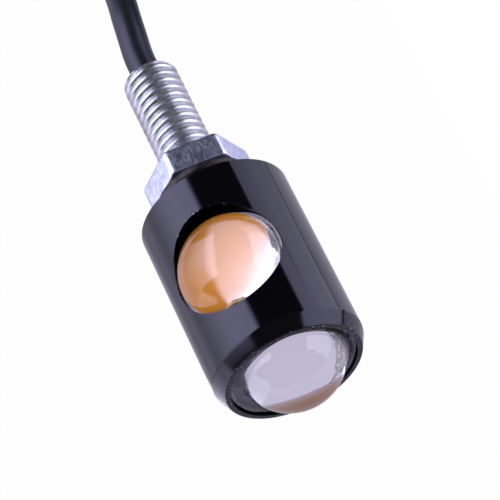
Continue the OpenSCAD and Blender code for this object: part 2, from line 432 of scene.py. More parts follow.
# black dye over turned metal: rubbed at the edges, nicked, and chafed at one place on the chamfer
def anodisedMaterial():
    finish = {
        "sockets": {"IOR": 1.5, "Specular Tint": (0.69, 0.66, 0.80)},
        "black": (0.0008, 0.0008, 0.0014),
        "brown": (0.0020, 0.0017, 0.0021),
        "bare": (0.62, 0.60, 0.62),
        "tone": {"Scale": 260, "Detail": 4},
        "wear": {"Scale": 3600, "Amount": 0.15},
        "nicks": {"Scale": 1500, "Size": 0.05, "Share": 0.05},
        "glints": {"Scale": 4200, "Size": 0.34, "Share": 0.6},
        "gloss": {"Scale": 700, "Low": 0.06, "High": 0.10},
        "turned": 0.03,
        "matt": 0.6,
        "rings": {"Scale": 6000},
        "ringBump": 0.25,
        "ringLeast": 0.12,
    }
    material, tree, shader = startMaterial("blackAnodised", finish["sockets"])
    inner, turned, chafed = [faceMark(tree, name) for name in ("inner", "turned", "chafed")]
    dyed = mixColour(tree, useGroup(tree, mottle, finish["tone"]), finish["black"], finish["brown"])
    wear = useGroup(tree, edgeWear, finish["wear"])
    nicks = useGroup(tree, specks, finish["nicks"])
    glints = useGroup(tree, specks, finish["glints"])
    bare = plus(tree, calc(tree, "MAXIMUM", wear, nicks), times(tree, glints, chafed))
    link(tree, mixColour(tree, bare, dyed, finish["bare"]), shader, "Base Color")
    # inner faces of the window and bore become a rough black metal that reflects almost nothing: painted
    # shade in these recesses
    link(tree, calc(tree, "MAXIMUM", bare, inner), shader, "Metallic")
    duller = plus(tree, useGroup(tree, mottle, finish["gloss"]), times(tree, turned, finish["turned"]))
    link(tree, mixNumber(tree, inner, duller, finish["matt"]), shader, "Roughness")
    deeper = addNode(tree, "ShaderNodeMapRange", {
        "Value": turned, "To Min": finish["ringLeast"], "To Max": 1.0}).outputs["Result"]
    rings = useGroup(tree, turnedRings, finish["rings"])
    addBump(tree, shader, times(tree, rings, deeper), finish["ringBump"], grainDepth)
    return material


# bare or plated metal: grain along the piece and stains over it
def metalMaterial(name, finish):
    stainSpread = {"Detail": 5, "Low": -0.6, "High": 1.0}
    material, tree, shader = startMaterial(name, {"Metallic": 1.0})
    stretch = finish.get("stretch", (1, 1, 1))
    streak = useGroup(tree, mottle, {"Scale": finish["grain"], "Stretch": stretch})
    plated = mixColour(tree, streak, finish["dark"], finish["light"])
    stain = useGroup(tree, mottle, {"Scale": finish["stainScale"], **stainSpread})
    soiled = calc(tree, "MULTIPLY", stain, finish["stain"], True)
    link(tree, mixColour(tree, soiled, plated, finish["soil"]), shader, "Base Color")
    addGloss(tree, shader, finish["grain"], finish["gloss"], stretch)
    addBump(tree, shader, streak, finish["bump"], grainDepth)
    return material


def glassMaterial(name, finish):
    material, tree, shader = startMaterial(name, finish["sockets"])
    addGloss(tree, shader, finish["scale"], finish["gloss"])
    tint = useGroup(tree, mottle, {"Scale": finish["scale"] / 2})
    clear = mixColour(tree, tint, finish["dark"], finish["light"])
    dirt = useGroup(tree, specks, finish["dirt"])
    link(tree, mixColour(tree, dirt, clear, finish["speck"]), shader, "Base Color")
    wave = useGroup(tree, mottle, {"Scale": finish["wave"], "Detail": 2})
    addBump(tree, shader, wave, finish["bump"], finish["waveDepth"])
    return material


# front glue: clear over black, and its film on the lens is full of small bubbles
def frontGlueMaterial():
    finish = {
        "sockets": {"Transmission Weight": 0.84, "IOR": 1.45},
        "dark": (0.20, 0.20, 0.30), "light": (0.42, 0.42, 0.58), "film": (0.95, 0.93, 0.94),
        "scale": 700, "gloss": (0.02, 0.14), "glossScale": 900,
        "worm": (0.66, 0.61, 0.64), "wormWide": 0.75,
        "curl": {"Scale": 2000, "Detail": 1, "Low": -1.0, "High": 1.0},
        "filmFrom": (-0.0205, -0.0208),
        "bump": 0.35, "waveDepth": 0.00012,
    }
    material, tree, shader = startMaterial("frontGlue", finish["sockets"])
    along = splitSpot(tree, objectSpot(tree))[1]
    tone = useGroup(tree, mottle, {"Scale": finish["scale"]})
    thick = mixColour(tree, tone, finish["dark"], finish["light"])
    film = slope(tree, along, *finish["filmFrom"])
    away = calc(tree, "ABSOLUTE", useGroup(tree, mottle, finish["curl"]))
    worms = times(tree, slope(tree, away, finish["wormWide"], 0.0), film)
    clear = mixColour(tree, film, thick, finish["film"])
    link(tree, mixColour(tree, worms, clear, finish["worm"]), shader, "Base Color")
    addGloss(tree, shader, finish["glossScale"], finish["gloss"])
    wave = useGroup(tree, mottle, {"Scale": finish["scale"], "Detail": 1})
    addBump(tree, shader, plus(tree, wave, worms), finish["bump"], finish["waveDepth"])
    return material


# side glue: milky, and stained along the lumpy bead at the front of the window
def sideGlueMaterial():
    finish = {
        "sockets": {"Transmission Weight": 0.2, "IOR": 1.45},
        "dark": (0.50, 0.48, 0.55), "light": (0.72, 0.70, 0.78), "stain": (0.80, 0.44, 0.10),
        "scale": 1200, "gloss": (0.05, 0.25), "glossScale": 900,
        "blot": {"Scale": 2400, "Detail": 2, "Low": 0.0, "High": 1.3},
        "stainFrom": (-0.0144, -0.0150),
        "lumps": {"Scale": 2400, "Detail": 2}, "bump": 0.5, "lumpDepth": 0.0001,
    }
    material, tree, shader = startMaterial("sideGlue", finish["sockets"])
    along = splitSpot(tree, objectSpot(tree))[1]
    tone = useGroup(tree, mottle, {"Scale": finish["scale"]})
    milky = mixColour(tree, tone, finish["dark"], finish["light"])
    blot = useGroup(tree, mottle, finish["blot"])
    stained = times(tree, slope(tree, along, *finish["stainFrom"]), blot)
    link(tree, mixColour(tree, stained, milky, finish["stain"]), shader, "Base Color")
    addGloss(tree, shader, finish["glossScale"], finish["gloss"])
    lumps = useGroup(tree, mottle, finish["lumps"])
    addBump(tree, shader, lumps, finish["bump"], finish["lumpDepth"])
    return material


blackAnodised = anodisedMaterial()
studSteel = metalMaterial("studSteel", {
    "dark": (0.47, 0.485, 0.49), "light": (0.70, 0.71, 0.72), "soil": (0.24, 0.22, 0.22),
    "grain": 2600, "stretch": (1, 0.12, 1), "stainScale": 500, "stain": 0.4,
    "gloss": (0.30, 0.42), "bump": 0.03})
nutZinc = metalMaterial("nutZinc", {
    "dark": (0.46, 0.51, 0.69), "light": (0.84, 0.88, 1.0), "soil": (0.34, 0.37, 0.52),
    "grain": 5200, "stretch": (1, 0.28, 1), "stainScale": 700, "stain": 0.3,
    "gloss": (0.28, 0.42), "bump": 0.12})
washerDark = metalMaterial("washerDark", {
    "dark": (0.030, 0.027, 0.026), "light": (0.080, 0.072, 0.068), "soil": (0.015, 0.013, 0.012),
    "grain": 3000, "stainScale": 400, "stain": 0.6, "gloss": (0.40, 0.60), "bump": 0.1})
lensFinish = {
    "sockets": {"Transmission Weight": 1.0, "IOR": 1.46},
    "dark": (0.96, 0.95, 0.97), "light": (1.0, 1.0, 1.0), "speck": (0.25, 0.22, 0.24),
    "scale": 300, "gloss": (0.0, 0.03), "dirt": {"Scale": 1500, "Size": 0.07, "Share": 0.06},
    "wave": 260, "bump": 0.05, "waveDepth": 0.0001}
frontClear = glassMaterial("frontClear", lensFinish)
sideClear = glassMaterial("sideClear", {
    **lensFinish, "sockets": {"Transmission Weight": 1.0, "IOR": 1.41, "Coat Weight": 0.25}})
frontGlue = frontGlueMaterial()
sideGlue = sideGlueMaterial()
boardWhite = coatedMaterial("boardWhite", {
    "dark": (0.72, 0.71, 0.64), "light": (0.84, 0.83, 0.77),
    "scale": 500, "gloss": (0.3, 0.5), "grain": 4000, "bump": 0.1})
carrierWhite = coatedMaterial("carrierWhite", {
    "dark": (0.66, 0.64, 0.66), "light": (0.78, 0.76, 0.78),
    "scale": 600, "gloss": (0.25, 0.4), "grain": 5000, "bump": 0.08})
amberDisc = coatedMaterial("amberDisc", {
    "sockets": {"IOR": 1.45, "Specular IOR Level": 0.45},
    "dark": (0.71, 0.27, 0.016), "light": (0.77, 0.31, 0.026),
    "scale": 420, "gloss": (0.14, 0.22), "grain": 6000, "bump": 0.03})
chipBlack = coatedMaterial("chipBlack", {
    "dark": (0.012, 0.012, 0.013), "light": (0.03, 0.03, 0.032),
    "scale": 900, "gloss": (0.4, 0.6), "grain": 8000, "bump": 0.15})
coreRedMatter = coatedMaterial("coreRed", {
    "dark": (0.42, 0.018, 0.016), "light": (0.52, 0.03, 0.025),
    "scale": 700, "gloss": (0.25, 0.4), "grain": 5000, "bump": 0.1})
coreBlackMatter = coatedMaterial("coreBlack", {
    "dark": (0.010, 0.010, 0.011), "light": (0.022, 0.022, 0.024),
    "scale": 700, "gloss": (0.25, 0.4), "grain": 5000, "bump": 0.1})
pottingResin = coatedMaterial("pottingResin", {
    "dark": (0.014, 0.013, 0.012), "light": (0.03, 0.028, 0.026),
    "scale": 500, "gloss": (0.1, 0.3), "grain": 2500, "bump": 0.3})
jacketBlack = coatedMaterial("jacketBlack", {
    "sockets": {"Specular Tint": (0.74, 0.76, 1.0)},
    "dark": (0.006, 0.006, 0.009), "light": (0.011, 0.011, 0.015),
    "scale": 450, "gloss": (0.36, 0.44), "grain": 4500, "bump": 0.12})
tieNylon = coatedMaterial("tieNylon", {
    "sockets": {"IOR": 1.53}, "dark": (0.010, 0.010, 0.011), "light": (0.024, 0.024, 0.026),
    "scale": 600, "gloss": (0.35, 0.5), "grain": 5000, "bump": 0.15})
copperBare = metalMaterial("copperBare", {
    "dark": (0.58, 0.28, 0.16), "light": (0.80, 0.46, 0.30), "soil": (0.26, 0.13, 0.08),
    "grain": 3000, "stainScale": 600, "stain": 0.4, "gloss": (0.2, 0.35), "bump": 0.1})
solderDull = metalMaterial("solderDull", {
    "dark": (0.52, 0.53, 0.56), "light": (0.74, 0.75, 0.78), "soil": (0.3, 0.3, 0.31),
    "grain": 2000, "stainScale": 700, "stain": 0.4, "gloss": (0.25, 0.45), "bump": 0.2})
tinnedWire = metalMaterial("tinnedWire", {
    "dark": (0.60, 0.59, 0.56), "light": (0.82, 0.81, 0.78), "soil": (0.36, 0.33, 0.28),
    "grain": 2500, "stainScale": 800, "stain": 0.4, "gloss": (0.2, 0.4), "bump": 0.15})
print("materials made")


# cable: first a free run out of the stud, then two layers of turns and two bare cores
cable = {
    "studEnd": 19.0,
    "radius": 1.6,
    "route": [(0, 0, 0), (0, 3, 0), (0.3, 6, -0.2), (0.5, 9, -0.8), (0.6, 12, -1.9), (0.5, 15, -3.2),
              (0.2, 18, -4.5), (-0.2, 21, -5.4), (-0.5, 24, -5.7)],
    "turns": 2.5,
    "coilRadius": 18.5,
    "step": 3.8,
    "climbFrom": 1,
    "climbTurns": 0.5,
    "heading": 184,
    "lead": 3.2,
    "perSpan": 4,
    "ringsPerTurn": 48,
    "sides": 24,
}


def coilAngle(s):
    return math.radians(cable["heading"] - 360 * s)


def coilDir(s):
    return Vector((math.sin(coilAngle(s)), -math.cos(coilAngle(s)), 0))


def coilOut(s):
    return Vector((math.cos(coilAngle(s)), math.sin(coilAngle(s)), 0))


coilStart = Vector((0, cable["studEnd"], 0)) + Vector(cable["route"][-1])
coilMid = coilStart + coilDir(0) * cable["lead"] - coilOut(0) * cable["coilRadius"]


def coilPlace(s):
    reach = cable["coilRadius"] - cable["step"] * min(s, cable["turns"] - s)
    rise = cable["step"] * ease((s - cable["climbFrom"]) / cable["climbTurns"])
    return coilMid + coilOut(s) * reach + Vector((0, 0, rise))


def cablePath():
    studEnd = Vector((0, cable["studEnd"], 0))
    hand = [studEnd + Vector(p) for p in cable["route"]]
    turnCount = int(cable["turns"] * cable["ringsPerTurn"])
    wound = [coilPlace(i / cable["ringsPerTurn"]) for i in range(turnCount + 1)]
    end = wound[-1] + coilDir(cable["turns"]) * cable["lead"]
    free = smoothPath(hand + [wound[0]], cable["perSpan"])
    return free + wound[1:] + [end]


def pathLength(path):
    return sum((b - a).length for a, b in zip(path, path[1:]))


route = cablePath()
coilEnd = route[-1]
endDir = coilDir(cable["turns"])
endOut = coilOut(cable["turns"])
cablePiece = meshObject("cableJacket", tube(
    route, cable["radius"], cable["sides"], Vector((0, 1, 0)), endDir), sharp=60)
dress(cablePiece, "lamp", "jacket", jacketBlack, "cord", "cord_coil")


# the length inside the stud, with its jacket cut back a little unevenly
tail = {
    "core": 0.9, "coreEdge": 0.1, "cutBack": 0.25, "frontEdge": 0.25, "rearEdge": 0.02,
    "tip": 0.3, "steps": 32,
}


def cableTail():
    front, rear = [end.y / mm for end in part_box("cable_tail")]
    r = cable["radius"]
    corners = [
        (tail["core"], front + tail["cutBack"], tail["coreEdge"]), (r, front, tail["frontEdge"]),
        (r, rear, tail["rearEdge"]), (tail["core"], rear, 0),
    ]
    return lathe(softProfile(corners, False), tail["steps"], False, front + tail["tip"], rear)


dress(meshObject("cableTail", cableTail()), "lamp", "jacket", jacketBlack, "cable_tail")


# two cores and their tinned ends
cores = {
    "route": [(0, 0, 0), (2, 0, -0.1), (5, 0.4, -0.9), (8, 1.2, -2.2),
              (11, 2.4, -3.7), (14, 4, -4.8), (17, 5.8, -5.3)],
    "perSpan": 4,
    "apart": 0.75,
    "radius": 0.6,
    "sides": 14,
    "tipLong": 4.0,
    "tipHidden": 0.3,
    "strandRadius": 0.15,
    "strandTurns": 0.8,
    "strandSteps": 14,
    "strandSides": 8,
    "roundMiddle": 6,
}


def corePath(side):
    hand = [
        coilEnd + endDir * along + endOut * (side * cores["apart"] - inward) + Vector((0, 0, below))
        for along, inward, below in cores["route"]
    ]
    return smoothPath(hand, cores["perSpan"])


# twisted strands, one of them straight in the middle
def strandBundle(path):
    ahead = path[-1] - path[-1 - cores["perSpan"]]
    ahead.z = 0
    ahead.normalize()
    across = ahead.cross(Vector((0, 0, 1)))
    parts = []
    for k in range(cores["roundMiddle"] + 1):
        around = 2 * math.pi * k / cores["roundMiddle"]
        reach = 0 if k == cores["roundMiddle"] else cores["strandRadius"] * 2
        line = []
        for i in range(cores["strandSteps"] + 1):
            t = i / cores["strandSteps"]
            a = around + 2 * math.pi * cores["strandTurns"] * t
            lift = Vector((0, 0, 1)) * math.sin(a) + across * math.cos(a)
            line.append(path[-1] + ahead * (t * cores["tipLong"] - cores["tipHidden"]) + lift * reach)
        parts.append(tube(line, cores["strandRadius"], cores["strandSides"], ahead, ahead))
    return joined(*parts)


bundles = []
for coreName, side, matter, slotName, node in (
    ("redCore", 1, coreRedMatter, "core_red", "core_positive"),
    ("blackCore", -1, coreBlackMatter, "core_black", "core_negative"),
):
    path = corePath(side)
    flat = (path[-1] - path[-2]) * Vector((1, 1, 0))
    core = tube(path, cores["radius"], cores["sides"], endDir, flat.normalized())
    piece = meshObject(coreName, core, sharp=60)
    dress(piece, "lamp", slotName, matter, node)
    bundles.append(strandBundle(path))
tipPiece = meshObject("tinnedEnds", joined(*bundles), sharp=60)
dress(tipPiece, "lamp", "tinned", tinnedWire, "core_tips")


# tie: a ratchet band round two turns, its head inside the coil
tie = {
    "at": 0.75, "thick": 0.5, "gap": 0.2, "wide": 2.6, "edge": 0.12, "arcSteps": 20, "flatSteps": 12,
    "head": (1.8, 3.6, 2.8), "headEdge": 0.3, "headClear": 0.02,
    "stubAt": (0.35, 0.85), "stubFrom": -0.4, "stubTo": 0.9,
    "rampAt": (0.9, 1.3), "rampWide": 1.6, "rampFrom": -0.2, "rampTo": 0.12, "smallEdge": 0.1,
}


def tieBand():
    reach = cable["radius"] + tie["gap"] + tie["thick"] / 2
    line = []
    for low, high, start, side in ((0, cable["step"], math.pi, 1), (cable["step"], 0, 0, -1)):
        for k in range(tie["arcSteps"] + 1):
            a = start + math.pi * k / tie["arcSteps"]
            line.append(Vector((reach * math.cos(a), 0, low + reach * math.sin(a))))
        for k in range(1, tie["flatSteps"]):
            line.append(Vector((side * reach, 0, low + (high - low) * k / tie["flatSteps"])))
    half = tie["thick"] / 2
    w = tie["wide"] / 2
    e = tie["edge"]
    section = [(-half, -w + e), (-half + e, -w), (half - e, -w), (half, -w + e),
               (half, w - e), (half - e, w), (-half + e, w), (-half, w - e)]
    rings = []
    count = len(line)
    for i, p in enumerate(line):
        ahead = (line[(i + 1) % count] - line[i - 1]).normalized()
        out = Vector((ahead.z, 0, -ahead.x))
        rings.append([p + out * u + Vector((0, v, 0)) for u, v in section])
    return skin(rings, True)


def softBox(low, high, edge):
    bm = bmesh.new()
    bmesh.ops.create_cube(bm, size=1)
    low = Vector(low)
    high = Vector(high)
    for v in bm.verts:
        v.co = Vector([low[i] if v.co[i] < 0 else high[i] for i in range(3)])
    bmesh.ops.bevel(bm, geom=list(bm.edges), offset=edge, segments=3, profile=0.6, affect="EDGES")
    bm.verts.index_update()
    points = [v.co.copy() for v in bm.verts]
    faces = [tuple(v.index for v in f.verts) for f in bm.faces]
    bm.free()
    return points, faces


def cableTie():
    deep, wide, tall = tie["head"]
    left = -(cable["radius"] + tie["gap"] + tie["thick"]) - deep + tie["thick"]

    def block(start, end, across, low, high, edge):
        return softBox((left + start, -across / 2, low), (left + end, across / 2, high), edge)

    e = tie["smallEdge"]
    head = block(0, deep - tie["headClear"], wide, 0, tall, tie["headEdge"])
    stub = block(*tie["stubAt"], tie["wide"], tall + tie["stubFrom"], tall + tie["stubTo"], e)
    ramp = block(*tie["rampAt"], tie["rampWide"], tall + tie["rampFrom"], tall + tie["rampTo"], e)
    points, faces = joined(tieBand(), head, stub, ramp)
    turned = Matrix.Rotation(coilAngle(tie["at"]), 3, "Z")
    return [coilPlace(tie["at"]) + turned @ p for p in points], faces


tiePiece = meshObject("cableTie", cableTie(), sharp=40)
dress(tiePiece, "lamp", "tie", tieNylon, "coil_tie")
print("cable laid, mm:", round(pathLength(route), 1))


# housing: turned from bar, with a bored front and a round window milled through its side
housing = {
    "radius": 8.0, "length": 21.12, "chamferIn": 0.74, "chamferLong": 1.52,
    "rearChamfer": 0.1, "rearEdge": 0.03,
    "frontBore": 6.7, "frontFloor": -17.0, "innerBore": 4.5, "rearWall": -3.0, "boreEdge": 0.05,
    "studHole": 2.82, "mouthChamfer": 0.4, "mouthEdge": 0.04,
    "windowRadius": 5.75, "windowAt": -10.1, "windowFloor": 2.1, "cutterTop": 12.0, "windowEdge": 0.10,
    "edge": 0.12, "lipEdge": 0.096, "lipInnerEdge": 0.08, "steps": 360, "windowSteps": 240,
    "chafedAt": 80, "chafedReach": 14,
    # how close a point counts as on a form
    "weld": 0.002, "onWall": 0.004, "near": 0.01, "within": 0.02, "underWall": 0.3,
    "insideFrom": -1, "rearTo": 0.2, "windowFrom": 2, "rimFrom": 2.5, "rimSkin": 0.003, "rimDeep": 1.5,
}


def housingPiece():
    h = housing
    r = h["radius"]
    front = -h["length"]
    corners = [
        (h["studHole"] + h["mouthChamfer"], 0, h["mouthEdge"]),
        (r - h["rearChamfer"], 0, h["rearEdge"]), (r, -h["rearChamfer"], h["rearEdge"]),
        (r, front + h["chamferLong"], h["edge"]), (r - h["chamferIn"], front, h["lipEdge"]),
        (h["frontBore"], front, h["lipInnerEdge"]), (h["frontBore"], h["frontFloor"], h["boreEdge"]),
        (h["innerBore"], h["frontFloor"], h["boreEdge"]), (h["innerBore"], h["rearWall"], h["boreEdge"]),
        (h["studHole"], h["rearWall"], h["boreEdge"]), (h["studHole"], -h["mouthChamfer"], h["mouthEdge"]),
    ]
    piece = meshObject("housingShell", lathe(softProfile(corners), h["steps"]))
    cutter = windowCutter()
    cut = piece.modifiers.new("window", "BOOLEAN")
    cut.object = cutter
    cut.operation = "DIFFERENCE"
    cut.solver = "EXACT"
    applyModifiers(piece)
    bpy.data.objects.remove(cutter)
    breakWindowEdge(piece.data)
    smoothFaces(piece.data, sharp=30)
    markFaces(piece.data)
    roundWall(piece.data)
    return piece


def windowCutter():
    h = housing
    r = h["windowRadius"]
    angles = [2 * math.pi * k / h["windowSteps"] for k in range(h["windowSteps"])]
    ends = (h["windowFloor"], h["cutterTop"])
    rings = [[Vector((r * math.cos(a), h["windowAt"] + r * math.sin(a), z)) for a in angles] for z in ends]
    return meshObject("windowCutter", skin(rings, False, *[(0, h["windowAt"], z) for z in ends]))


def breakWindowEdge(mesh):
    h = housing
    bm = bmesh.new()
    bm.from_mesh(mesh)

    def onRim(v):
        p = v.co / mm
        away = math.hypot(p.x, p.y - h["windowAt"]) - h["windowRadius"]
        skinGap = math.hypot(p.x, p.z) - h["radius"]
        return abs(away) < h["near"] and abs(skinGap) < h["near"] and p.z > 0

    bmesh.ops.remove_doubles(bm, verts=bm.verts, dist=h["weld"] * mm)
    rim = [e for e in bm.edges if all(onRim(v) for v in e.verts)]
    bmesh.ops.bevel(
        bm, geom=rim, offset=h["windowEdge"] * mm, segments=3, profile=0.5, affect="EDGES",
        clamp_overlap=False)
    bm.to_mesh(mesh)
    bm.free()


# tells the finish which faces are worn, matt and in painted shade inside, turned across and chafed
def markFaces(mesh):
    h = housing
    names = ("worn", "inner", "turned", "chafed")
    for name in names:
        mesh.attributes.new(name, "FLOAT", "FACE")
    worn, inner, turned, chafed = [mesh.attributes[name].data for name in names]
    bore = h["frontBore"] + h["within"]
    for face in mesh.polygons:
        p = face.center / mm
        reach = math.hypot(p.x, p.z)
        byWindow = abs(p.y - h["windowAt"]) < h["windowRadius"] + h["near"] and p.z > h["windowFrom"]
        windowWall = byWindow and reach < h["radius"] - h["underWall"]
        boreWall = reach < bore and p.y < h["insideFrom"]
        onChamfer = p.y < h["chamferLong"] - h["length"] and reach > bore
        onRear = p.y > -h["rearTo"]
        away = abs(math.degrees(math.atan2(p.x, p.z)) - h["chafedAt"]) / h["chafedReach"]
        worn[face.index].value = float(onBrokenEdge(p))
        inner[face.index].value = float(windowWall or boreWall)
        turned[face.index].value = float(onChamfer or onRear)
        chafed[face.index].value = 1 - ease(away) if onChamfer else 0.0


def onBrokenEdge(p):
    h = housing
    e = h["edge"]
    reach = math.hypot(p.x, p.z)
    fromWindow = math.hypot(p.x, p.y - h["windowAt"]) - h["windowRadius"]
    byRim = abs(fromWindow - h["windowEdge"] / 2) < h["windowEdge"] and p.z > h["rimFrom"]
    if byRim and h["rimSkin"] < h["radius"] - reach < h["rimDeep"] * h["windowEdge"]:
        return True
    onLip = h["frontBore"] + h["within"] < reach < h["radius"] - h["chamferIn"] + e
    if onLip and p.y < -h["length"] + e:
        return True
    return p.y > -e and reach > h["radius"] - h["rearChamfer"] - e


# the long wall takes its normals from the cylinder itself
def roundWall(mesh):
    normals = [Vector(n.vector) for n in mesh.corner_normals]
    for face in mesh.polygons:
        spots = [mesh.vertices[i].co / mm for i in face.vertices]
        if all(abs(math.hypot(p.x, p.z) - housing["radius"]) < housing["onWall"] for p in spots):
            for loop, p in zip(face.loop_indices, spots):
                normals[loop] = Vector((p.x, 0, p.z)).normalized()
    mesh.normals_split_custom_set(normals)


shell = housingPiece()
dress(shell, "lamp", "black_anodised", blackAnodised, "housing")
print("housing turned,", len(shell.data.polygons), "faces")


# stud: one rolled thread, round on top and narrow at the root
stud = {
    "end": 19.0, "step": -0.4, "inner": -3.0, "spigot": 2.8, "spigotEdge": 0.15,
    "bore": 1.62, "boreEdge": 0.25, "pitch": 1.0, "root": 2.5, "crest": 3.0, "crestShape": 2.4,
    "startLong": 0.8, "runOutCrest": 2.83, "runOutTo": 5.9, "runOutLong": 0.3,
    "tip": 2.45, "tipLong": 0.55, "edge": 0.05, "aroundSteps": 96, "perPitch": 20,
}


def threadRadius(phase, y):
    s = stud
    crest = s["runOutCrest"] + (s["crest"] - s["runOutCrest"]) * ease((y - s["runOutTo"]) / s["runOutLong"])
    away = abs(2 * (phase % 1.0) - 1)   # nought on the crest, one in the root
    lift = 1 - away ** s["crestShape"]
    grown = s["root"] + (crest - s["root"]) * lift * ease((y - s["step"]) / s["startLong"])
    nearEnd = (s["end"] - y) / s["tipLong"]
    limit = s["tip"] + (s["crest"] - s["tip"]) * math.sqrt(min(max(nearEnd, 0), 1))
    return min(grown, limit)


def studShape():
    s = stud
    angles = [2 * math.pi * k / s["aroundSteps"] for k in range(s["aroundSteps"])]

    def ring(r, y):
        return [turn(r, a, y) for a in angles]

    rings = [
        ring(s["bore"], s["inner"]), ring(s["spigot"] - s["spigotEdge"], s["inner"]),
        ring(s["spigot"], s["inner"] + s["spigotEdge"]), ring(s["spigot"], s["step"] - s["edge"]),
        ring(s["root"] + 2 * s["edge"], s["step"]),
    ]
    low = s["step"] + s["edge"]
    high = s["end"]
    count = round((high - low) * s["perPitch"] / s["pitch"])
    for j in range(count + 1):
        y = low + (high - low) * j / count
        phases = [y / s["pitch"] - a / (2 * math.pi) + 0.5 for a in angles]
        rings.append([turn(threadRadius(phase, y), a, y) for phase, a in zip(phases, angles)])
    rings += [
        ring(s["tip"] - s["edge"], high), ring(s["bore"] + s["boreEdge"], high),
        ring(s["bore"], high - s["boreEdge"]),
    ]
    return skin(rings, True)


studPiece = meshObject("studThread", studShape(), sharp=50)
dress(studPiece, "lamp", "stud_steel", studSteel, "stud")
print("stud rolled")


# nut and washer
washer = {
    "outer": 5.2, "inner": 3.2, "low": 2.05, "high": 2.8, "edge": 0.16, "holeEdge": 0.05, "underEdge": 0.06,
    "steps": 144,
}
nut = {
    "low": 2.8, "high": 6.0, "acrossFlats": 10.0, "bore": 3.05, "mouth": 3.35, "flatAt": 19.5,
    "corner": 0.4, "cornerSteps": 4, "flatSteps": 20, "frontEdge": 0.3, "rearEdge": 0.65, "edgeSteps": 6,
    "wallRows": (0.25, 0.5, 0.7), "threadDeep": 0.22, "threadInset": 0.3, "perPitch": 10,
}


def washerShape():
    w = washer
    corners = [
        (w["inner"], w["low"], w["holeEdge"]), (w["outer"], w["low"], w["underEdge"]),
        (w["outer"], w["high"], w["edge"]), (w["inner"], w["high"], w["edge"]),
    ]
    return lathe(softProfile(corners), w["steps"])


def nutOutline(half):
    reach = half / math.cos(math.radians(30))
    angles = [math.radians(nut["flatAt"] + 30 + 60 * k) for k in range(6)]
    corners = [Vector((math.sin(a), math.cos(a))) * reach for a in angles]
    bends = [k / nut["cornerSteps"] for k in range(nut["cornerSteps"] + 1)]
    points = []
    for k, here in enumerate(corners):
        after = corners[(k + 1) % 6]
        a = here + (corners[k - 1] - here).normalized() * nut["corner"]
        b = here + (after - here).normalized() * nut["corner"]
        far = after + (here - after).normalized() * nut["corner"]
        points += [a.lerp(here, t).lerp(here.lerp(b, t), t) for t in bends]
        points += [b.lerp(far, t / nut["flatSteps"]) for t in range(1, nut["flatSteps"])]
    return points


def nutShape():
    n = nut
    half = n["acrossFlats"] / 2
    low = n["low"]
    high = n["high"]
    bends = [math.pi / 2 * k / n["edgeSteps"] for k in range(n["edgeSteps"] + 1)]
    curve = [(1 - math.sin(b), 1 - math.cos(b)) for b in bends]
    rows = [(n["frontEdge"] * inset, low + n["frontEdge"] * up) for inset, up in curve]
    rows += [(0, low + (high - low) * t) for t in n["wallRows"]]
    rows += [(n["rearEdge"] * inset, high - n["rearEdge"] * up) for inset, up in reversed(curve)]
    ways = [p.normalized() for p in nutOutline(half)]
    rings = [[Vector((w.x, 0, w.y)) * n["mouth"] + Vector((0, low, 0)) for w in ways]]
    rings += [[Vector((p.x, y, p.y)) for p in nutOutline(half - inset)] for inset, y in rows]
    rings.append([Vector((w.x, 0, w.y)) * n["mouth"] + Vector((0, high, 0)) for w in ways])
    long = high - low - 2 * n["threadInset"]
    count = int(long * n["perPitch"])
    for j in range(count + 1):
        y = high - n["threadInset"] - j * long / count
        ring = []
        for w in ways:
            phase = y - math.atan2(w.x, w.y) / (2 * math.pi)
            deep = n["threadDeep"] * (1 - abs(2 * (phase % 1.0) - 1))
            q = w * (n["bore"] + deep)
            ring.append(Vector((q.x, y, q.y)))
        rings.append(ring)
    return skin(rings, True)


washerPiece = meshObject("plainWasher", washerShape())
evenNormals(washerPiece)
dress(washerPiece, "washer", "washer_dark", washerDark, "washer")
nutPiece = meshObject("hexNut", nutShape(), sharp=25)
evenNormals(nutPiece)
dress(nutPiece, "nut", "zinc", nutZinc, "nut")
print("nut and washer made")


# the two light units: front one along -Y, side one along +Z
unit = {
    "lensRadius": 5.6, "skirt": 0.3, "dome": 4.3, "lensEdge": 0.1, "lensSteps": 144, "domeRings": 44,
    "discRadius": 4.6, "discHigh": 0.3, "discGap": 0.1, "discEdge": 0.1, "crown": 0.03, "crownSteps": 16,
    "carrierRadius": 5.45, "carrierHigh": 2.0, "carrierEdges": (0.06, 0.1, 0.08, 0.04), "steps": 96,
    "hub": 0.1, "fit": 0.02, "domeFrom": 0.2, "tipFrom": 2, "tipFull": 1,
    "frontLean": (-0.069, -0.017), "sideLean": (-0.110, -0.021),   # both were glued in a little crooked
    "frontOff": (0.3, -0.1, 0.0), "sideOff": (0.0, 0.0, 0.0),      # and the front one off its centre
}
frontAt = -20.1   # flat of the front lens
sideAt = 5.2      # flat of the side lens


def domeRadius():
    r = unit["lensRadius"]
    d = unit["dome"]
    return (r * r + d * d) / (2 * d)


# shapes are made round Y with their light towards -Y, then turned up for the side unit
def toSide(points):
    return [Vector((p.x, housing["windowAt"] + p.z, sideAt - (p.y - frontAt))) for p in points]


# tips a piece about the middle of the dome, from nothing at one place along the axis to all of it at another
def tipped(shape, lean, start, full):
    points, faces = shape
    centre = Vector((0, frontAt - unit["skirt"] - unit["dome"] + domeRadius(), 0))
    swing = Vector((0, -1, 0)).rotation_difference(Vector((lean[0], -1, lean[1])))
    moved = []
    for p in points:
        share = min(max((p.y - start) / (full - start), 0), 1)
        moved.append(p.lerp(centre + swing @ (p - centre), share))
    return moved, faces


